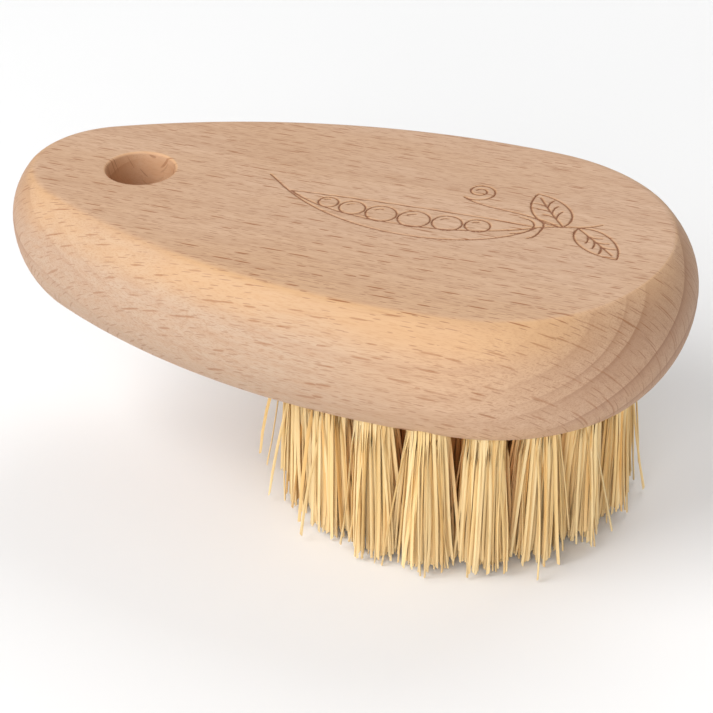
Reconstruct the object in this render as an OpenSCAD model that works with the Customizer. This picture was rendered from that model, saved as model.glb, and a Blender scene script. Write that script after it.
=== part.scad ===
// Egg-shaped hand brush for vegetables: a hardwood block with a round field of fibre tufts.
// +X points to the wide end and +Z up. The brush stands on its fibre tips at z = 0.

/* [Block] */
// Length of the block
block_length = 120; // [110:1:140]
// Thickness of the block
block_thickness = 24; // [21:0.5:27]
// Radius of the wide end, seen from above
wide_end_r = 34.2; // [32:0.1:38]
// Radius of the narrow end, seen from above
narrow_end_r = 19.5; // [16:0.1:24]
// Radius of the two long sides, seen from above
side_r = 133; // [110:1:200]

/* [Rounded edge] */
// Height of the block's widest line above its underside
girth_height = 14.8; // [11:0.1:18]
// Radius of the flank from the widest line up to the top corner
upper_flank_r = 13.5; // [13:0.5:30]
// Radius of the corner where the flank meets the flat top
top_corner_r = 3; // [1:0.1:4]
// Radius of the flank from the widest line down to the lower corner
lower_flank_r = 20; // [18.5:0.5:40]
// Radius of the corner where the flank meets the flat underside
under_corner_r = 6; // [3:0.1:9]

/* [Hanging hole] */
// Diameter of the hole
hanging_hole_d = 12; // [8:0.5:14]
// Distance from the tip of the narrow end to the hole's axis
hanging_hole_from_end = 22.7; // [20:0.1:30]
// Radius of the softened rim at each end of the hole
hanging_hole_rim_r = 0.5; // [0.2:0.1:1.5]

/* [Tuft holes] */
// Distance from the tip of the wide end to the middle of the tuft field
field_from_end = 39.4; // [38:0.1:50]
// Distance from one ring of tufts to the next
ring_pitch = 8.8; // [8.5:0.1:9.5]
// How far the pattern of holes is turned about its middle, seen from above
pattern_turn = -3.2; // [-10:0.1:10]
// Diameter of each drilled hole
tuft_hole_d = 7.2; // [5:0.1:7.4]
// Depth of the straight part of each drilled hole
tuft_hole_depth = 12; // [9:0.5:15]
// Full angle of the drill's point
drill_point_angle = 118; // [90:1:150]

/* [Fibre tufts] */
// Length of fibre that stands out below the block
bristle_length = 26; // [15:0.5:40]
// Gap between the pressed bundle and the wall of its hole
bundle_clearance = 0.05; // [0.02:0.01:0.1]
// Diameter of a tuft at its tips
tuft_tip_d = 8.4; // [7:0.1:8.6]
// How far the outer ring of tufts leans outwards at its tips
outer_lean = 0.2; // [0:0.1:4]
// How late a tuft opens out: 1 opens evenly, more opens nearer the tips
flare_power = 1.5; // [1:0.1:3]
// Diameter of one strand of fibre
strand_d = 1; // [0.5:0.05:1.2]
// How far the longest and shortest fibres differ
tip_raggedness = 2; // [0:0.1:4]
// Depth that is trimmed flat off the longest fibres, where the brush stands
trim_depth = 0.5; // [0.5:0.1:1]

/* [Anchors] */
// Thickness of the flat steel strip across each fold
anchor_thickness = 0.4; // [0.3:0.05:0.6]
// Height of the strip
anchor_height = 2.2; // [1.5:0.1:3]
// How far the strip bites into the wood on each side
anchor_bite = 0.3; // [0.1:0.05:0.8]
// Thickness of the folded fibre above the strip
fold_thickness = 1.3; // [0.8:0.1:2.5]
// Gap all round the strip
anchor_clearance = 0.02; // [0.01:0.01:0.05]

/* [Hidden] */
$fn = 144;
overrun = 1;
beech = [0.84, 0.69, 0.56];
straw = [0.90, 0.77, 0.52];
steel = [0.72, 0.73, 0.75];

// Plan of the block: two end arcs, and two side arcs that are tangent to both of them.
wide_x = block_length / 2 - wide_end_r;
narrow_x = narrow_end_r - block_length / 2;
to_wide = side_r - wide_end_r;
to_narrow = side_r - narrow_end_r;
side_x = (to_narrow ^ 2 - to_wide ^ 2 + wide_x ^ 2 - narrow_x ^ 2) / (2 * (wide_x - narrow_x));
side_y = -sqrt(to_wide ^ 2 - (wide_x - side_x) ^ 2);
wide_seam = atan2(-side_y, wide_x - side_x);
narrow_seam = atan2(-side_y, narrow_x - side_x);

// Section of the edge: tangent arcs, measured from the widest line.
crown_height = block_thickness - girth_height;
upper_turn = asin((crown_height - top_corner_r) / (upper_flank_r - top_corner_r));
lower_turn = asin((girth_height - under_corner_r) / (lower_flank_r - under_corner_r));
top_inset = upper_flank_r - (upper_flank_r - top_corner_r) * cos(upper_turn);
under_inset = lower_flank_r - (lower_flank_r - under_corner_r) * cos(lower_turn);

// Both are lists of arc points: a centre, a radius and the angle of the point.
wide_end_steps = 28;
side_steps = 20;
narrow_end_steps = 18;
corner_steps = 4;
flank_steps = 3;
plan = concat(
    arc([wide_x, 0], wide_end_r, -wide_seam, wide_seam, wide_end_steps),
    arc([side_x, side_y], side_r, wide_seam, narrow_seam, side_steps),
    arc([narrow_x, 0], narrow_end_r, narrow_seam, 360 - narrow_seam, narrow_end_steps),
    arc([side_x, -side_y], side_r, 360 - narrow_seam, 360 - wide_seam, side_steps)
);
section = concat(
    arc([-under_inset, under_corner_r], under_corner_r, -90, -lower_turn, corner_steps),
    arc([-lower_flank_r, girth_height], lower_flank_r, -lower_turn, 0, flank_steps),
    arc([-upper_flank_r, girth_height], upper_flank_r, 0, upper_turn, flank_steps),
    arc([-top_inset, block_thickness - top_corner_r], top_corner_r, upper_turn, 90, corner_steps),
    [[[-top_inset, block_thickness], 0, 90]]
);

hanging_hole_x = hanging_hole_from_end - block_length / 2;
hanging_hole_r = hanging_hole_d / 2;

field_x = block_length / 2 - field_from_end;
ring_names = ["inner", "middle", "outer"];
ring_step = 6;
field_r = ring_pitch * len(ring_names);
tuft_hole_r = tuft_hole_d / 2;
drill_slope = tan(drill_point_angle / 2);
bundle_r = tuft_hole_r - bundle_clearance;
anchor_top = tuft_hole_depth - fold_thickness;

strand_r = strand_d / 2;
strand_sides = 3;
strand_levels = [0, 0.5, 1];
strand_lap = 0.4;
strand_inset = 0.3;
strands_in_ring = [1, 4, 8];
ring_twist = 22.5;
golden_angle = 137.508;

// Each tuft has a name, and its place in the field.
tufts = [
    ["tuft_centre", [0, 0]],
    for (ring = [1 : len(ring_names)])
        for (k = [1 : ring_step * ring])
            [str("tuft_", ring_names[ring - 1], "_", k),
             ring * ring_pitch * direction(360 * (k - 1) / (ring_step * ring) + pattern_turn)]
];

// Each strand has its seat in a tuft, in a disc of radius 1. No two rings of seats line up.
strand_seats = [
    for (ring = [0 : len(strands_in_ring) - 1])
        for (k = [1 : strands_in_ring[ring]])
            let (angle = 360 * k / strands_in_ring[ring] + ring_twist * ring)
                ring / (len(strands_in_ring) - 1) * direction(angle)
];

function direction(angle) = [cos(angle), sin(angle)];
function turned(point, angle) =
    [point.x * cos(angle) - point.y * sin(angle), point.x * sin(angle) + point.y * cos(angle)];
function arc(centre, r, from, to, steps) =
    [for (i = [0 : steps - 1]) [centre, r, from + (to - from) * i / steps]];
function arc_point(stop, grow) = stop[0] + (stop[1] + grow) * direction(stop[2]);

// Walls between rings of points: each ring has so many sides, and the rings go up one by one.
function ring_walls(rings, sides) = [
    for (ring = [0 : rings - 2])
        for (side = [0 : sides - 1])
            let (
                a = ring * sides + side,
                b = ring * sides + (side + 1) % sides,
                c = b + sides,
                d = a + sides
            )
            each [[a, d, c], [a, c, b]]
];
function ring_cap(ring, sides) = [for (side = [0 : sides - 1]) ring * sides + side];
function reversed(list) = [for (i = [len(list) - 1 : -1 : 0]) list[i]];

// A closed skin over rings of points, from the lowest ring to the highest.
module ring_skin(points, rings, sides) {
    polyhedron(
        points,
        concat([ring_cap(0, sides)], ring_walls(rings, sides), [reversed(ring_cap(rings - 1, sides))])
    );
}

// The section is swept round the plan, square to it everywhere.
module block_body() {
    points = [
        for (level = section)
            let (edge = arc_point(level, 0))
                for (stop = plan)
                    let (place = arc_point(stop, edge.x))
                        [place.x, place.y, edge.y]
    ];
    ring_skin(points, len(section), len(plan));
}

// What the drill and the rim cutter take away, in one turn about the hole's axis.
module hanging_hole() {
    rim_x = hanging_hole_r + hanging_hole_rim_r;
    translate([hanging_hole_x, 0, 0])
        rotate_extrude()
            difference() {
                translate([0, -overrun]) square([rim_x, block_thickness + 2 * overrun]);
                translate([hanging_hole_r, hanging_hole_rim_r])
                    square([2 * hanging_hole_rim_r, block_thickness - 2 * hanging_hole_rim_r]);
                for (z = [hanging_hole_rim_r, block_thickness - hanging_hole_rim_r])
                    translate([rim_x, z]) circle(hanging_hole_rim_r);
            }
}

// A blind hole of radius r with a drill's point, from the height z up.
module drilled_shape(r, z) {
    rotate_extrude()
        polygon([[0, z], [r, z], [r, tuft_hole_depth], [0, tuft_hole_depth + r / drill_slope]]);
}

module anchor_shape(gap) {
    translate([0, 0, anchor_top - anchor_height / 2])
        cube([tuft_hole_d + 2 * (anchor_bite + gap), anchor_thickness + 2 * gap, anchor_height + 2 * gap],
             center = true);
}

module at_tuft(place) {
    translate([field_x + place.x, place.y, bristle_length]) children();
}

module block() {
    color(beech)
        difference() {
            translate([0, 0, bristle_length]) block_body();
            translate([0, 0, bristle_length]) hanging_hole();
            for (tuft = tufts)
                at_tuft(tuft[1]) drilled_shape(tuft_hole_r, -overrun);
            for (tuft = tufts)
                at_tuft(tuft[1]) anchor_shape(anchor_clearance);
        }
}

// One strand of tuft number n, from inside the bundle down to its trimmed tip.
module strand(n, seat) {
    number = n * len(strand_seats) + seat;
    place = turned(strand_seats[seat], golden_angle * n);
    lean = tufts[n][1] * outer_lean / field_r;
    root_offset = place * (bundle_r - strand_r - strand_inset);
    tip_offset = place * (tuft_tip_d / 2 - strand_r) + lean;
    uncut_tip = tip_raggedness * (1 + sin(golden_angle * number)) / 2 - trim_depth;
    tip_z = max(0, uncut_tip) - bristle_length;
    points = [
        for (level = reversed(strand_levels))
            let (middle = root_offset + (tip_offset - root_offset) * level ^ flare_power)
                for (side = [1 : strand_sides])
                    let (corner = middle + strand_r * direction(360 * side / strand_sides))
                        [corner.x, corner.y, strand_lap + (tip_z - strand_lap) * level]
    ];
    ring_skin(points, len(strand_levels), strand_sides);
}

// A bundle of fibre pressed into its hole and folded over its anchor, with its strands below.
module tuft(n) {
    color(straw)
        at_tuft(tufts[n][1]) {
            difference() {
                drilled_shape(bundle_r, 0);
                anchor_shape(anchor_clearance);
            }
            for (seat = [0 : len(strand_seats) - 1])
                strand(n, seat);
        }
}

module anchors() {
    color(steel)
        for (tuft = tufts)
            at_tuft(tuft[1]) anchor_shape(0);
}

block();
for (n = [0 : len(tufts) - 1])
    tuft(n);
anchors();
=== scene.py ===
import math

import bmesh
import bpy
import numpy as np
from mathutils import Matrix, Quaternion, Vector, kdtree
from mathutils.geometry import delaunay_2d_cdt


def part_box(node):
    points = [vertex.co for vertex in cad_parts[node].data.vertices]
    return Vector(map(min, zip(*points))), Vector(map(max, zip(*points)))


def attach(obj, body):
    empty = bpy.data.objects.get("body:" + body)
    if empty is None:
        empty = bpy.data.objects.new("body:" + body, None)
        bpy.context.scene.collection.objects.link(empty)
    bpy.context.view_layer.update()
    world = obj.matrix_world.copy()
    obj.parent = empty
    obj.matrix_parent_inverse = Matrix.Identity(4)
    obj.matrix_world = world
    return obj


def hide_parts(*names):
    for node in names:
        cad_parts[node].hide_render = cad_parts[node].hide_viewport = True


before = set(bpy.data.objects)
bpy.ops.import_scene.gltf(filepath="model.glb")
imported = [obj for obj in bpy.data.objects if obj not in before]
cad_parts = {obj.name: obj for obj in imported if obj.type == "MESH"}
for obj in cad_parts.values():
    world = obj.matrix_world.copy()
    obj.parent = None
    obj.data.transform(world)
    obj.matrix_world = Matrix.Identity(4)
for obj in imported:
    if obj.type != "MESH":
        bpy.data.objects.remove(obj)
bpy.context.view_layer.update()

# The block: one piece of beech, sawn to an egg shape with the grain along it, drilled through for
# hanging and drilled blind for the tufts. Its edge is moulded and sanded round, its two faces stay flat,
# and a pea pod is burnt a fifth of a millimetre deep into the top.
mm = 0.001
low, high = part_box("block")
thickness = high.z - low.z
wide_end_r = 34.2 * mm
narrow_end_r = 19.5 * mm
side_r = 133 * mm
girth_height = 14.8 * mm
soft_flank_r = 13.5 * mm
crisp_flank_r = 11 * mm
lower_flank_r = 20 * mm
under_corner_r = 6 * mm
soft_corner_r = 3 * mm
crisp_corner_r = 1.1 * mm
crispest_at = math.radians(-15)
crispest_direction = (math.cos(crispest_at), math.sin(crispest_at))
crispness_power = 3
flat_margin = 0.4 * mm
wide_steps, side_steps, narrow_steps = 90, 70, 60
corner_steps, flank_steps = 9, 8

wide_x = high.x - wide_end_r
narrow_x = low.x + narrow_end_r
to_wide = side_r - wide_end_r
to_narrow = side_r - narrow_end_r
side_x = (to_narrow**2 - to_wide**2 + wide_x**2 - narrow_x**2) / (2 * (wide_x - narrow_x))
side_y = -math.sqrt(to_wide**2 - (wide_x - side_x) ** 2)
wide_seam = math.atan2(-side_y, wide_x - side_x)
narrow_seam = math.atan2(-side_y, narrow_x - side_x)


def arc(centre, radius, start, end, steps):
    """Points along an arc without its last one, each with the direction that it faces."""
    angles = np.linspace(start, end, steps, endpoint=False)
    facing = np.stack([np.cos(angles), np.sin(angles)], 1)
    return np.concatenate([np.array(centre) + radius * facing, facing], 1)


plan = np.concatenate([
    arc((wide_x, 0), wide_end_r, -wide_seam, wide_seam, wide_steps),
    arc((side_x, side_y), side_r, wide_seam, narrow_seam, side_steps),
    arc((narrow_x, 0), narrow_end_r, narrow_seam, 2 * math.pi - narrow_seam, narrow_steps),
    arc((side_x, -side_y), side_r, 2 * math.pi - narrow_seam, 2 * math.pi - wide_seam, side_steps),
])


def edge_section(crispness):
    """The moulded edge as insets and heights, from the flat underside out and up to the flat top."""
    top_corner_r = soft_corner_r + (crisp_corner_r - soft_corner_r) * crispness
    upper_flank_r = soft_flank_r + (crisp_flank_r - soft_flank_r) * crispness
    upper_turn = math.asin((thickness - girth_height - top_corner_r) / (upper_flank_r - top_corner_r))
    lower_turn = math.asin((girth_height - under_corner_r) / (lower_flank_r - under_corner_r))
    top_inset = upper_flank_r - (upper_flank_r - top_corner_r) * math.cos(upper_turn)
    under_inset = lower_flank_r - (lower_flank_r - under_corner_r) * math.cos(lower_turn)
    curved = np.concatenate([
        arc((-under_inset, under_corner_r), under_corner_r, -math.pi / 2, -lower_turn, corner_steps),
        arc((-lower_flank_r, girth_height), lower_flank_r, -lower_turn, 0, flank_steps),
        arc((-upper_flank_r, girth_height), upper_flank_r, 0, upper_turn, flank_steps),
        arc((-top_inset, thickness - top_corner_r), top_corner_r, upper_turn, math.pi / 2, corner_steps),
    ])[:, :2]
    start = [(-under_inset - flat_margin, 0)]
    end = [(-top_inset, thickness), (-top_inset - flat_margin, thickness)]
    return np.concatenate([start, curved, end])


def add_ring(shape, points):
    return [shape.verts.new(point) for point in points]


def bridge(shape, ring, following):
    """Joins two rings of as many points with a band of faces."""
    for k in range(len(ring)):
        shape.faces.new((ring[k - 1], ring[k], following[k], following[k - 1]))


def fill_flat(shape, rings):
    """Fills the flat between an outer ring and the convex rings inside it with triangles."""
    verts = [vert for ring in rings for vert in ring]
    owners = [number for number, ring in enumerate(rings) for vert in ring]
    edges = []
    for ring in rings:
        start = len(edges)
        edges += [(start + k, start + (k + 1) % len(ring)) for k in range(len(ring))]
    flat = [vert.co.xy / mm for vert in verts]
    inside, same_within = 1, 1e-5
    _, _, faces, came_from, _, _ = delaunay_2d_cdt(flat, edges, [], inside, same_within)
    for face in faces:
        corners = [came_from[corner][0] for corner in face]
        touched = {owners[corner] for corner in corners}
        if len(touched) > 1 or 0 in touched:
            shape.faces.new([verts[corner] for corner in corners])


def round_ring(shape, centre, radius, z, steps):
    stops = arc(centre, radius, 0, 2 * math.pi, steps)
    return add_ring(shape, [(x, y, z) for x, y in stops[:, :2]])


block_shape = bmesh.new()
burn_layer = block_shape.verts.layers.float.new("burn")
crispness = np.clip(plan[:, 2:] @ crispest_direction, 0, 1) ** crispness_power
sections = np.stack([edge_section(share) for share in crispness])
skin = [
    add_ring(block_shape, np.column_stack([plan[:, :2] + inset[:, None] * plan[:, 2:], low.z + height]))
    for inset, height in zip(sections[:, :, 0].T, sections[:, :, 1].T)
]
for ring, following in zip(skin, skin[1:]):
    bridge(block_shape, ring, following)

hanging_hole_at = (low.x + 22.7 * mm, 0)
hanging_hole_r = 6 * mm
hanging_hole_steps = 96
rim_r = 0.5 * mm
rim_steps = 6
rim_centre_r = hanging_hole_r + rim_r
wall_depths = np.linspace(0, thickness / 3, 5)
half_profile = np.concatenate([
    [(rim_centre_r + flat_margin, 0)],
    arc((rim_centre_r, -rim_r), rim_r, math.pi / 2, math.pi, rim_steps)[:, :2],
    [(hanging_hole_r, -rim_r - depth) for depth in wall_depths],
])


def hanging_hole_ring(radius, z):
    """A ring of the hanging hole's wall or rim."""
    return round_ring(block_shape, hanging_hole_at, radius, z, hanging_hole_steps)


upper_rings = [hanging_hole_ring(radius, high.z + drop) for radius, drop in half_profile]
lower_rings = [hanging_hole_ring(radius, low.z - drop) for radius, drop in half_profile]
hole_rings = upper_rings + lower_rings[::-1]
for ring, following in zip(hole_rings, hole_rings[1:]):
    bridge(block_shape, ring, following)

field_x = high.x - 39.4 * mm
ring_pitch = 8.8 * mm
pattern_turn = math.radians(-3.2)
tuft_hole_r = 3.6 * mm
tuft_hole_depth = 12 * mm
tuft_hole_steps = 40
drill_half_angle = math.radians(59)
drill_point = tuft_hole_r / math.tan(drill_half_angle)
drill_run_in = 1 * mm
tuft_places = {"tuft_centre": (field_x, 0)}
for ring, ring_name in enumerate(("inner", "middle", "outer"), 1):
    holes = 6 * ring
    for k in range(holes):
        turn = 2 * math.pi * k / holes + pattern_turn
        place = (field_x + ring * ring_pitch * math.cos(turn), ring * ring_pitch * math.sin(turn))
        tuft_places[f"tuft_{ring_name}_{k + 1}"] = place
drill_shape = bmesh.new()
for place in tuft_places.values():
    shank_end, shoulder_ring = [
        round_ring(drill_shape, place, tuft_hole_r, z, tuft_hole_steps)
        for z in (low.z - drill_run_in, low.z + tuft_hole_depth)
    ]
    bridge(drill_shape, shank_end, shoulder_ring)
    drill_shape.faces.new(shank_end[::-1])
    point = drill_shape.verts.new((*place, low.z + tuft_hole_depth + drill_point))
    for k in range(len(shoulder_ring)):
        drill_shape.faces.new((shoulder_ring[k - 1], shoulder_ring[k], point))
fill_flat(block_shape, [skin[0], hole_rings[-1]])

# The burnt drawing: strokes of a pea pod with its stalk, two leaves and a tendril. Their points are
# in millimetres, and a fine grid of the top sinks where it lies under a stroke.
drawing_at = Vector((11.5 * mm, -1 * mm))
stroke_step = 0.1 * mm
stroke_end_half_width = 0.15 * mm
stroke_swell = 0.12 * mm
burn_depth = 0.22 * mm
burn_softness = 0.16 * mm
grid_step = 0.2 * mm
grid_margin = 1 * mm
fewest_points = 8


def curve(*points):
    """A smooth Bezier curve, given by its ends and the points that pull on it."""
    length = sum(math.dist(a, b) for a, b in zip(points, points[1:])) * mm
    share = np.linspace(0, 1, max(fewest_points, int(length / stroke_step)))[:, None]
    last = len(points) - 1
    return sum(
        math.comb(last, k) * share**k * (1 - share) ** (last - k) * np.array(point)
        for k, point in enumerate(points)
    )


def circle_part(centre, radius, start, end):
    """A stroke along a circle, from one angle to another in degrees."""
    steps = int(math.radians(end - start) * radius * mm / stroke_step)
    return arc(centre, radius, math.radians(start), math.radians(end), steps)[:, :2]


def leaf(base, tip, width):
    """The strokes of a leaf: its outline, its midrib and a few side veins."""
    base, tip = np.array(base, float), np.array(tip, float)
    along = tip - base
    across = np.array([-along[1], along[0]]) / np.hypot(*along) * width
    parts = [
        curve(base, base + 0.15 * along + across, base + 0.7 * along + across, tip),
        curve(base, base + 0.15 * along - across, base + 0.7 * along - across, tip),
        curve(base, base + 0.5 * along + 0.06 * across, base + 0.88 * along),
    ]
    for share in (0.25, 0.42, 0.59):
        for side in (-1, 1):
            start = base + share * along
            end = base + (share + 0.16) * along + side * 0.42 * across
            parts.append(curve(start, start + 0.35 * (end - start) + 0.06 * along, end))
    return parts


pod_stalk, pod_tip = (21, 3.5), (-27, 6.5)
strokes = [
    curve(pod_stalk, (14, -9.5), (-12, -11.5), (-22, 2.5), pod_tip),
    curve(pod_stalk, (10, -4.5), (-12, -5.5), (-21.5, 2.2)),
    curve(pod_stalk, (9, 4.2), (-10, 3.2), (-21.5, 2.2)),
    curve(pod_stalk, (24, 5.5), (28, 5), (31, 8)),
    curve((20, 6.5), (23.5, 5), pod_stalk, (22.5, 0.5), (20.5, -0.5)),
    curve((17.5, 6), (21, 6), pod_stalk, (20.5, 1), (17.5, 0.2)),
]
peas = [
    ((-14.2, 0.35), 1.7),
    ((-9.8, -0.2), 2.2),
    ((-4.6, -0.55), 2.6),
    ((1.1, -0.5), 2.7),
    ((6.7, 0), 2.5),
    ((11.7, 0.8), 2.1),
]
glint_share = 0.62
for pea_at, pea_r in peas:
    strokes.append(circle_part(pea_at, pea_r, 0, 360))
    strokes.append(circle_part(pea_at, pea_r * glint_share, 95, 150))
strokes += leaf((25, 5.2), (18, 15), 4.2)
strokes += leaf((27.5, 5.6), (36, -2.5), 3.8)
curl_middle = (8.6, 12.6)
curl_r = 3.4
curl_start = -2.2
curl_tightening = -0.13
turned = np.linspace(0, 3.6 * math.pi, 260)[:, None]
curl_facing = np.concatenate([np.cos(turned + curl_start), np.sin(turned + curl_start)], 1)
curl = curl_r * np.exp(curl_tightening * turned) * curl_facing + curl_middle
strokes.append(curl)
strokes.append(curve((24.5, 5), (17, 8.5), (11, 6.5), curl[0]))

ink = kdtree.KDTree(sum(len(stroke) for stroke in strokes))
half_widths = []
for stroke in strokes:
    share = np.linspace(0, 1, len(stroke))
    half_widths.extend(stroke_end_half_width + stroke_swell * np.sin(math.pi * share))
    for point in stroke:
        ink.insert((*(point * mm), 0), len(half_widths) - len(stroke))
ink.balance()
half_widths = np.array(half_widths)
drawn = np.concatenate(strokes) * mm
columns, rows = [
    np.arange(extent.min() - grid_margin, extent.max() + grid_margin, grid_step) for extent in drawn.T
]
grid = []
for across in rows:
    line = []
    for along in columns:
        _, index, distance = ink.find((along, across, 0))
        burn = float(np.clip((half_widths[index] - distance) / burn_softness + 0.5, 0, 1))
        at = (drawing_at.x + along, drawing_at.y + across, high.z - burn_depth * burn)
        vert = block_shape.verts.new(at)
        vert[burn_layer] = burn
        line.append(vert)
    grid.append(line)
for line, following in zip(grid, grid[1:]):
    for k in range(1, len(line)):
        block_shape.faces.new((line[k - 1], line[k], following[k], following[k - 1]))
grid_border = (
    grid[0] + [line[-1] for line in grid[1:]] + grid[-1][-2::-1] + [line[0] for line in grid[-2:0:-1]]
)
fill_flat(block_shape, [skin[-1], hole_rings[0], grid_border])


def link_shape(name, shape):
    """Turns a shape into an object of the scene, with its faces looking outwards."""
    bmesh.ops.recalc_face_normals(shape, faces=shape.faces)
    mesh = bpy.data.meshes.new(name)
    shape.to_mesh(mesh)
    shape.free()
    made = bpy.data.objects.new(name, mesh)
    bpy.context.scene.collection.objects.link(made)
    return made


block = link_shape("block_wood", block_shape)
drill = link_shape("drill", drill_shape)
drilling = block.modifiers.new("drilling", "BOOLEAN")
drilling.solver = "MANIFOLD"
drilling.object = drill
drilled = bpy.data.meshes.new_from_object(block.evaluated_get(bpy.context.evaluated_depsgraph_get()))
block.modifiers.clear()
block.data = drilled
bpy.data.objects.remove(drill)
drilled.shade_smooth()
drilled.set_sharp_from_angle(angle=math.radians(35))


def finish_piece(piece, material, slot, *stands_for):
    """Gives a piece its finish and its body, and puts it in the place of its solids."""
    piece.data.materials.clear()
    piece.data.materials.append(material)
    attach(piece, "root")
    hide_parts(*stands_for)


class Wire:
    """A shader socket that takes part in sums: a * b + 1 adds the Math nodes that work it out."""

    def __init__(self, tree, output=None):
        self.tree = tree
        self.output = output

    def node(self, kind, settings=None, sockets=None, output=0):
        """Adds a node of any type: its settings first, a ramp's stops among them, then its sockets."""
        made = self.tree.nodes.new("ShaderNode" + kind)
        for name, value in (settings or {}).items():
            if name == "stops":
                steps = made.color_ramp.elements
                while len(steps) < len(value):
                    steps.new(0.5)
                for step, (position, shade) in zip(steps, value):
                    step.position = position
                    step.color = (shade, shade, shade, 1)
            else:
                setattr(made, name, value)
        for name, value in (sockets or {}).items():
            if isinstance(value, Wire):
                self.tree.links.new(value.output, made.inputs[name])
            else:
                made.inputs[name].default_value = value
        return Wire(self.tree, made.outputs[output])

    def sum(self, operation, *values):
        return self.node("Math", {"operation": operation}, dict(enumerate(values)))

    def __add__(self, other):
        return self.sum("ADD", self, other)

    def __radd__(self, other):
        return self.sum("ADD", other, self)

    def __sub__(self, other):
        return self.sum("SUBTRACT", self, other)

    def __rsub__(self, other):
        return self.sum("SUBTRACT", other, self)

    def __mul__(self, other):
        return self.sum("MULTIPLY", self, other)

    def __rmul__(self, other):
        return self.sum("MULTIPLY", other, self)

    def __truediv__(self, other):
        return self.sum("DIVIDE", self, other)

    def __pow__(self, other):
        return self.sum("POWER", self, other)

    def __abs__(self):
        return self.sum("ABSOLUTE", self)

    def parts(self):
        """The x, y and z of a vector."""
        first = self.node("SeparateXYZ", sockets={0: self})
        return [Wire(self.tree, output) for output in first.output.node.outputs]

    def rise(self, start, end):
        """0 up to start and 1 past end, with a soft change between them. It falls if end is the lower."""
        settings = {"interpolation_type": "SMOOTHSTEP"}
        return self.node("MapRange", settings, {"Value": self, "From Min": start, "From Max": end})

    def between(self, colour, other):
        """The first colour where this is 0, and the other where it is 1."""
        return self.node("Mix", {"data_type": "RGBA"}, {0: self, 6: colour, 7: other}, output=2)


def srgb(red, green, blue):
    """A colour as a picture's 0 to 255 values, in the linear light that shaders use."""
    shares = [value / 255 for value in (red, green, blue)]
    return [share / 12.92 if share <= 0.04045 else ((share + 0.055) / 1.055) ** 2.4 for share in shares] + [1]


def new_material(name, constants):
    """A material with its Principled shader's constants set, and the start of a tree for what varies."""
    made = bpy.data.materials.new(name)
    made.use_nodes = True
    shader = made.node_tree.nodes["Principled BSDF"]
    for socket, value in constants.items():
        shader.inputs[socket].default_value = value
    return made, Wire(made.node_tree), shader


def drive(shader, socket, wire):
    wire.tree.links.new(wire.output, shader.inputs[socket])


# The beech: its growth rings run round a pith below the block, with the grain along the block.
pith_y = 22.7 * mm
pith_z = low.z - 40.9 * mm
mean_ring_r = 70 * mm
ring_radii = [37.0, 42.5, 48.2, 53.6, 59.9, 66.1, 72.6, 74.6, 77.8, 81.2, 86.0]
first_ring, last_ring = ring_radii[0] * mm, ring_radii[-1] * mm

beech, start, shader = new_material("beech", {"Specular IOR Level": 0.3})
place = start.node("TexCoord", output="Object")
straight_ways = place.parts()
x, y, z = straight_ways


def in_cells(ways, cell):
    """A place counted in cells, whose sizes along its three ways are in millimetres."""
    counts = {k: way / (size * mm) for k, (way, size) in enumerate(zip(ways, cell))}
    return start.node("CombineXYZ", sockets=counts)


def grain_noise(ways, cell, detail, roughness):
    """Noise whose grains have the size of such a cell."""
    seat = in_cells(ways, cell)
    sockets = {"Vector": seat, "Scale": 1.0, "Detail": detail, "Roughness": roughness}
    return start.node("TexNoise", {}, sockets)


ring_wander = 1.4 * mm
wander = grain_noise(straight_ways, (60, 22, 22), 3.0, 0.5)
from_pith_y = y - pith_y
from_pith_z = z - pith_z
ring_r = (from_pith_y**2 + from_pith_z**2) ** 0.5 + (wander - 0.5) * ring_wander
round_pith = start.sum("ARCTAN2", from_pith_y, from_pith_z) * mean_ring_r
grain_ways = (x, round_pith, ring_r)

# Each ring darkens outwards to its late wood. A ramp holds 32 stops, so the rings share out two.
darkening = ((0.0, 0.0), (0.5, 0.16), (0.85, 0.5), (0.97, 1.0))
stops = []
for inner, outer in zip(ring_radii, ring_radii[1:]):
    for share, shade in darkening:
        stops.append(((inner + share * (outer - inner)) * mm, shade))
span = last_ring - first_ring


def ring_shades(part_of_stops):
    ramp_stops = [((radius - first_ring) / span, shade) for radius, shade in part_of_stops]
    return start.node("ValToRGB", {"stops": ramp_stops}, {0: (ring_r - first_ring) / span})


half = len(stops) // 2
outer_ramp = (ring_r - stops[half][0]).rise(-0.01 * mm, 0.01 * mm)
late_wood = outer_ramp * ring_shades(stops[half:]) + (1 - outer_ramp) * ring_shades(stops[:half])


def flecks(cell, half_size, share):
    """Scattered spindles, one in that share of the cells. Sizes run along, round and out from the pith."""
    seat = in_cells(grain_ways, cell)
    cells = start.node("TexVoronoi", {}, {"Vector": seat, "Scale": 1.0}).output.node.outputs
    length, strength, _ = Wire(start.tree, cells["Color"]).parts()
    ends = {0: seat, 1: Wire(start.tree, cells["Position"])}
    off = start.node("VectorMath", {"operation": "SUBTRACT"}, ends)
    reach = [part * (step / size) for part, step, size in zip(off.parts(), cell, half_size)]
    distance = ((reach[0] / (length * 0.7 + 0.5)) ** 2 + reach[1] ** 2 + reach[2] ** 2) ** 0.5
    return distance.rise(1.0, 0.65) * strength.rise(1 - share, 1.25 - share)


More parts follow.
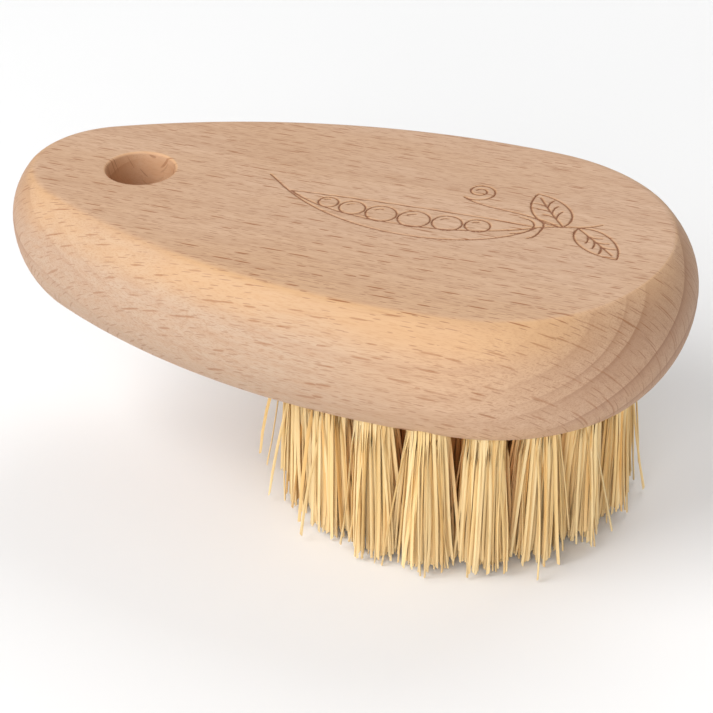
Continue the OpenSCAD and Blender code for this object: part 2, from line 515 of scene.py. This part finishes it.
rays = flecks((5.5, 2.0, 11), (2.2, 0.15, 9), 0.7)
small_rays = flecks((3.2, 0.7, 7), (1.2, 0.08, 5), 0.85)
pores = grain_noise(grain_ways, (2.6, 0.19, 0.19), 2.0, 0.7)
radial = grain_noise(grain_ways, (20, 0.3, 4), 2.0, 0.6)
streaks = grain_noise(grain_ways, (22, 0.9, 1.4), 3.0, 0.6)
cloud = grain_noise(straight_ways, (28, 12, 12), 2.0, 0.5)
cloudy = cloud.rise(0.3, 0.7)
facing_x, facing_y, facing_up = start.node("NewGeometry", output="Normal").parts()
end_grain = abs(facing_x).rise(0.3, 0.95)
facing_front = facing_y.rise(-0.35, -0.85)
shoulder = facing_up.rise(0.1, 0.55) * facing_up.rise(1.0, 0.9)
burnt = start.node("Attribute", {"attribute_name": "burn"}, output="Fac")
from_hole = ((x - hanging_hole_at[0]) ** 2 + (y - hanging_hole_at[1]) ** 2) ** 0.5
near_hole = from_hole.rise(hanging_hole_r + 0.4 * mm, hanging_hole_r + 0.05 * mm)

pale_wood = srgb(206, 172, 144)
warm_wood = srgb(202, 166, 135)
outer_wood = srgb(203, 163, 124)
painted_bounce_grey = srgb(190, 167, 146)
streak_tan = srgb(186, 148, 118)
late_wood_brown = srgb(156, 115, 88)
pore_brown = srgb(164, 120, 86)
radial_brown = srgb(150, 110, 84)
end_grain_tan = srgb(170, 130, 102)
shoulder_gold = srgb(211, 166, 118)
painted_hole_light = srgb(222, 172, 128)
small_ray_brown = srgb(150, 104, 72)
ray_brown = srgb(150, 96, 56)
burnt_brown = srgb(126, 76, 48)

wood = cloudy.between(pale_wood, warm_wood)
wood = (ring_r.rise(71 * mm, 85 * mm) * 0.7).between(wood, outer_wood)
# Painted light: the front-facing flank turns greyer towards the narrow end, standing in for light bounced up
# from the pale table.
wood = (facing_front * x.rise(35 * mm, -5 * mm) * 0.8).between(wood, painted_bounce_grey)
wood = ((streaks - 0.5) * 0.65 + 0.2).rise(0.0, 0.6).between(wood, streak_tan)
wood = (late_wood * (end_grain * 0.85 + 0.15)).between(wood, late_wood_brown)
wood = (pores.rise(0.46, 0.68) * (end_grain * 0.15 + 0.5)).between(wood, pore_brown)
wood = (radial.rise(0.5, 0.75) * end_grain * 0.5).between(wood, radial_brown)
wood = (end_grain * 0.25).between(wood, end_grain_tan)
wood = (shoulder * (1 - end_grain * 0.85) * (cloudy * 0.35 + 0.2)).between(wood, shoulder_gold)
# Painted light: the hanging hole's wall turns lighter and warmer, standing in for light reaching into the
# hole.
wood = (near_hole * 0.5).between(wood, painted_hole_light)
wood = (small_rays * (0.75 - facing_front * 0.25)).between(wood, small_ray_brown)
wood = (rays * (0.85 - end_grain * 0.3 - facing_front * 0.35)).between(wood, ray_brown)
wood = (burnt.rise(0.15, 0.8) * 0.85).between(wood, burnt_brown)
drive(shader, "Base Color", wood)
drive(shader, "Roughness", 0.52 + pores * 0.1 + burnt * 0.25)
relief = pores * -0.6 - rays * 0.5
bump = start.node("Bump", {}, {"Strength": 0.3, "Distance": 0.1 * mm, "Height": relief})
drive(shader, "Normal", bump)
finish_piece(block, beech, "beech", "block")

# The tufts: bundles of stiff, pale plant fibre, each fibre a narrow flat blade. A bundle is folded in
# half over a steel strip and pressed into its drilled hole, so that the fibres' two legs stand out side
# by side and spread towards their ragged tips, which the trimming knife cuts at a slant.
blade_half_width = 0.30 * mm
blade_half_depth = 0.17 * mm
blade_sides = 5
width_shares, depth_shares = (0.7, 1.25), (0.8, 1.1)
steepest_slant = 1.8
seat_pitch = 0.44 * mm
seat_scatter = 0.07 * mm
strip_half_thickness = 0.2 * mm
strip_clearance = 0.04 * mm
bundle_r = 3.55 * mm
anchor_top = low.z + 10.7 * mm
fold_height = 1.3 * mm
fold_steps = 5
leg_levels = np.linspace(0, 1, 6)
tip_spread_r = 5.0 * mm
spread_shares = (0.85, 1.1)
tip_scatter = 0.7 * mm
stray_scatter = 1.6
stray_lean = (0.5, 3.5)
bow_scatter = 0.28 * mm
ragged_shape, ragged_scale = 1.5, 0.65 * mm
outer_lean = -0.9 * mm
field_r = 3 * ring_pitch
flare_power = 0.9
longest_off, shortest_off = 0.1 * mm, 6 * mm
lowest_point = 0.02 * mm

seat_rows, seats_each_way = 10, 8
row_step = seat_pitch * math.sqrt(3) / 2
first_row = strip_half_thickness + blade_half_depth + strip_clearance
seats = np.array([
    ((column + row % 2 / 2) * seat_pitch, first_row + row * row_step)
    for row in range(seat_rows)
    for column in range(-seats_each_way, seats_each_way + 1)
])
seats = seats[np.hypot(seats[:, 0], seats[:, 1]) < bundle_r - blade_half_depth]


def legs(chance, seats, lean, stray_share):
    """Paths of the legs below the block, from the mouth of the hole to the tips: legs, levels, x y z."""
    count = len(seats)
    stray = (chance.random(count) < stray_share)[:, None]
    spread = seats * (tip_spread_r / bundle_r) * chance.uniform(*spread_shares, (count, 1))
    tips = spread + lean + chance.normal(0, tip_scatter, (count, 2)) * (1 + stray_scatter * stray)
    tips = tips + stray * lean / outer_lean * chance.uniform(*stray_lean, (count, 1)) * mm
    bow = chance.normal(0, bow_scatter, (count, 2)) * (1 + stray)
    tip_z = np.minimum(chance.gamma(ragged_shape, ragged_scale, count) + longest_off, shortest_off)
    level = leg_levels[None, :, None]
    flat = seats[:, None] + (tips - seats)[:, None] * level**flare_power
    flat = flat + bow[:, None] * np.sin(math.pi * level) * level
    height = low.z + (tip_z[:, None, None] - low.z) * level
    return np.concatenate([flat, height], 2)


def folded_fibres(chance, lean, stray_share):
    """Centre lines of the fibres: up one leg, over the strip and down the other."""
    sides = [
        legs(chance, seats * (1, side) + chance.normal(0, seat_scatter, seats.shape), lean, stray_share)
        for side in (1, -1)
    ]
    turn = np.linspace(0, math.pi, fold_steps)[None, :, None]
    wide = seats[:, None, 1:] * np.cos(turn)
    room = blade_half_depth + (fold_height - 2 * blade_half_depth) * seats[:, None, 1:] / bundle_r
    over = anchor_top + room * np.sin(turn)
    fold = np.concatenate([np.repeat(seats[:, None, :1], fold_steps, 1), wide, over], 2)
    return np.concatenate([sides[0][:, ::-1], fold, sides[1]], 1)


def blade_mesh(name, chance, lines):
    """Flat fibres along centre lines, cut at a slant, with a shade for each and a place along it."""
    count, stations = lines.shape[:2]
    run = np.gradient(lines, axis=1)
    run /= np.linalg.norm(run, axis=2, keepdims=True)
    across = np.array([1.0, 0, 0]) - run[:, :, :1] * run
    across /= np.linalg.norm(across, axis=2, keepdims=True)
    other = np.cross(run, across)
    station = np.linspace(-1, 1, stations)
    reach = np.abs(station)
    taper = np.interp(reach, [0, 0.7, 1], [1, 1, 0.85])
    width = blade_half_width * chance.uniform(*width_shares, (count, 1)) * taper
    depth = blade_half_depth * chance.uniform(*depth_shares, (count, 1)) * np.ones(stations)
    facing = chance.uniform(0, math.pi, (count, 2, 1))
    facing = np.where(station < 0, facing[:, 0], facing[:, 1]) * np.interp(reach, [0.3, 0.5], [0, 1])
    angles = np.arange(blade_sides) * 2 * math.pi / blade_sides
    broad = width[..., None] * np.cos(angles)
    thin = depth[..., None] * np.sin(angles)
    turn_cos, turn_sin = np.cos(facing)[..., None], np.sin(facing)[..., None]
    offset_x = broad * turn_cos - thin * turn_sin
    offset_y = broad * turn_sin + thin * turn_cos
    points = lines[:, :, None] + offset_x[..., None] * across[:, :, None]
    points = points + offset_y[..., None] * other[:, :, None]
    slant = chance.uniform(-steepest_slant, steepest_slant, (count, 2, 1))
    for end, side in ((0, 0), (-1, 1)):
        points[:, end, :, 2] += slant[:, side] * broad[:, end] + np.abs(slant[:, side]) * width[:, end, None]
    points[..., 2] = np.maximum(points[..., 2], lowest_point)
    index = np.arange(count * stations * blade_sides).reshape(count, stations, blade_sides)
    turned = np.roll(index, -1, 2)
    walls = np.stack([index[:, :-1], turned[:, :-1], turned[:, 1:], index[:, 1:]], -1).reshape(-1, 4)
    caps = np.concatenate([index[:, 0, ::-1], index[:, -1]])
    mesh = bpy.data.meshes.new(name)
    mesh.from_pydata(points.reshape(-1, 3), [], walls.tolist() + caps.tolist())
    mesh.shade_smooth()
    mesh.set_sharp_from_angle(angle=math.radians(70))
    shade = np.repeat(chance.random(count), stations * blade_sides)
    along = np.tile(np.repeat(reach, blade_sides), count)
    for attribute, values in (("shade", shade), ("along", along)):
        stored = mesh.attributes.new(attribute, "FLOAT", "POINT").data
        stored.foreach_set("value", values.astype(np.float32))
    return mesh


straw, start, shader = new_material("plant_fibre", {"Specular IOR Level": 0.5, "Roughness": 0.45})
shade = start.node("Attribute", {"attribute_name": "shade"}, output="Fac")
along = start.node("Attribute", {"attribute_name": "along"}, output="Fac")
place = start.node("TexCoord", output="Object")
streak_place = start.node("Mapping", {}, {"Vector": place, "Scale": (2500, 2500, 160)})
streaks = start.node("TexNoise", {}, {"Vector": streak_place, "Scale": 1.0, "Detail": 2.0})
pale_straw = srgb(238, 213, 161)
deep_straw = srgb(231, 194, 128)
amber = srgb(220, 166, 94)
streak_straw = srgb(226, 184, 118)
bleached_tip = srgb(246, 222, 176)
painted_shade_gold = srgb(242, 158, 78)

colour = shade.between(pale_straw, deep_straw)
colour = (shade.rise(0.84, 1.0) * 0.6).between(colour, amber)
colour = (streaks.rise(0.35, 0.75) * 0.35).between(colour, streak_straw)
colour = (along.rise(0.75, 1.0) * 0.3).between(colour, bleached_tip)
x, y, z = place.parts()
# Painted shade: fibres deep in the field and nearer the block turn deep gold, standing in for the warm shade
# and light bounced between fibres. It fades out towards the tips.
from_middle = ((x - field_x) ** 2 + y**2) ** 0.5
painted_shade_depth = from_middle.rise(field_r + 1.5 * mm, field_r - 4 * mm) * z.rise(1 * mm, 9 * mm)
colour = (painted_shade_depth * 0.85).between(colour, painted_shade_gold)
drive(shader, "Base Color", colour)
bump = start.node("Bump", {}, {"Strength": 0.2, "Distance": 0.05 * mm, "Height": streaks})
drive(shader, "Normal", bump)

first_seed = 100
outer_strays, inner_strays = 0.05, 0.01
for number, (name, place) in enumerate(tuft_places.items()):
    chance = np.random.default_rng(first_seed + number)
    outward = np.array(place) - (field_x, 0)
    stray_share = outer_strays if "outer" in name else inner_strays
    lines = folded_fibres(chance, outward * outer_lean / field_r, stray_share)
    lines[..., :2] += place
    tuft = bpy.data.objects.new(name + "_fibres", blade_mesh(name + "_fibres", chance, lines))
    bpy.context.scene.collection.objects.link(tuft)
    finish_piece(tuft, straw, "plant_fibre", name)

# The anchors: short pieces cut from flat steel strip, one driven across the fold of each tuft until its
# ends bite into the wood. They stay as the solids have them, with the finish of bare rolled strip.
steel, start, shader = new_material("anchor_steel", {"Metallic": 1.0})
place = start.node("TexCoord", output="Object")
rolled_place = start.node("Mapping", {}, {"Vector": place, "Scale": (300, 6000, 6000)})
rolled = start.node("TexNoise", {}, {"Vector": rolled_place, "Scale": 1.0, "Detail": 3.0})
dull_steel, bright_steel = srgb(168, 170, 174), srgb(196, 198, 202)
drive(shader, "Base Color", rolled.between(dull_steel, bright_steel))
drive(shader, "Roughness", 0.3 + rolled * 0.2)
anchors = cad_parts["anchors"]
anchors.data.materials.clear()
anchors.data.materials.append(steel)

# The studio: a pale table that runs on behind the brush, a large soft lamp low in front, one higher on
# the left, a weaker one behind, and even light from all round.
table_mesh = bpy.data.meshes.new("table")
table_reach = 3
corner_signs = ((-1, -1), (1, -1), (1, 1), (-1, 1))
corners = [(along * table_reach, across * table_reach, 0) for along, across in corner_signs]
table_mesh.from_pydata(corners, [], [(0, 1, 2, 3)])
table = bpy.data.objects.new("table", table_mesh)
bpy.context.scene.collection.objects.link(table)
paper, start, shader = new_material("paper", {"Roughness": 0.9})
grain = start.node("TexNoise", {}, {"Scale": 60.0, "Detail": 4.0})
duller_white, white = (0.86, 0.86, 0.86, 1), (0.88, 0.88, 0.88, 1)
drive(shader, "Base Color", grain.between(duller_white, white))
table_mesh.materials.append(paper)

lit_point = Vector((0, 0, 0.03))
lamp_size = 0.7
lamps = {
    "front_softbox": ((0.162, -0.926, 0.372), 5.5),
    "left_softbox": ((-0.542, -0.454, 0.737), 7.3),
    "back_softbox": ((0.124, 0.696, 0.737), 4.0),
}
for name, (position, power) in lamps.items():
    light = bpy.data.lights.new(name, "AREA")
    light.size = lamp_size
    light.energy = power
    lamp = bpy.data.objects.new(name, light)
    lamp.location = position
    lamp.rotation_euler = (lit_point - lamp.location).to_track_quat("-Z", "Y").to_euler()
    bpy.context.scene.collection.objects.link(lamp)
world = bpy.data.worlds.new("studio")
world.use_nodes = True
all_round = world.node_tree.nodes["Background"].inputs
all_round["Color"].default_value = (1, 1, 1, 1)
all_round["Strength"].default_value = 0.32
bpy.context.scene.world = world
bpy.context.scene.view_settings.view_transform = "Standard"

# The camera stands where the photograph was taken from: in front of the brush and above it, nearer to
# its wide end, with a long lens and hardly any roll.
camera = bpy.data.objects.new("camera", bpy.data.cameras.new("camera"))
camera.location = (0.12041, -0.33259, 0.23715)
aim = Vector((0.00279, -0.00190, 0.02149))
roll = math.radians(0.165)
level = (aim - camera.location).to_track_quat("-Z", "Y")
camera.rotation_mode = "QUATERNION"
camera.rotation_quaternion = level @ Quaternion((0, 0, 1), roll)
camera.data.sensor_width = 36
camera.data.lens = 120.72
bpy.context.scene.collection.objects.link(camera)
bpy.context.scene.camera = camera
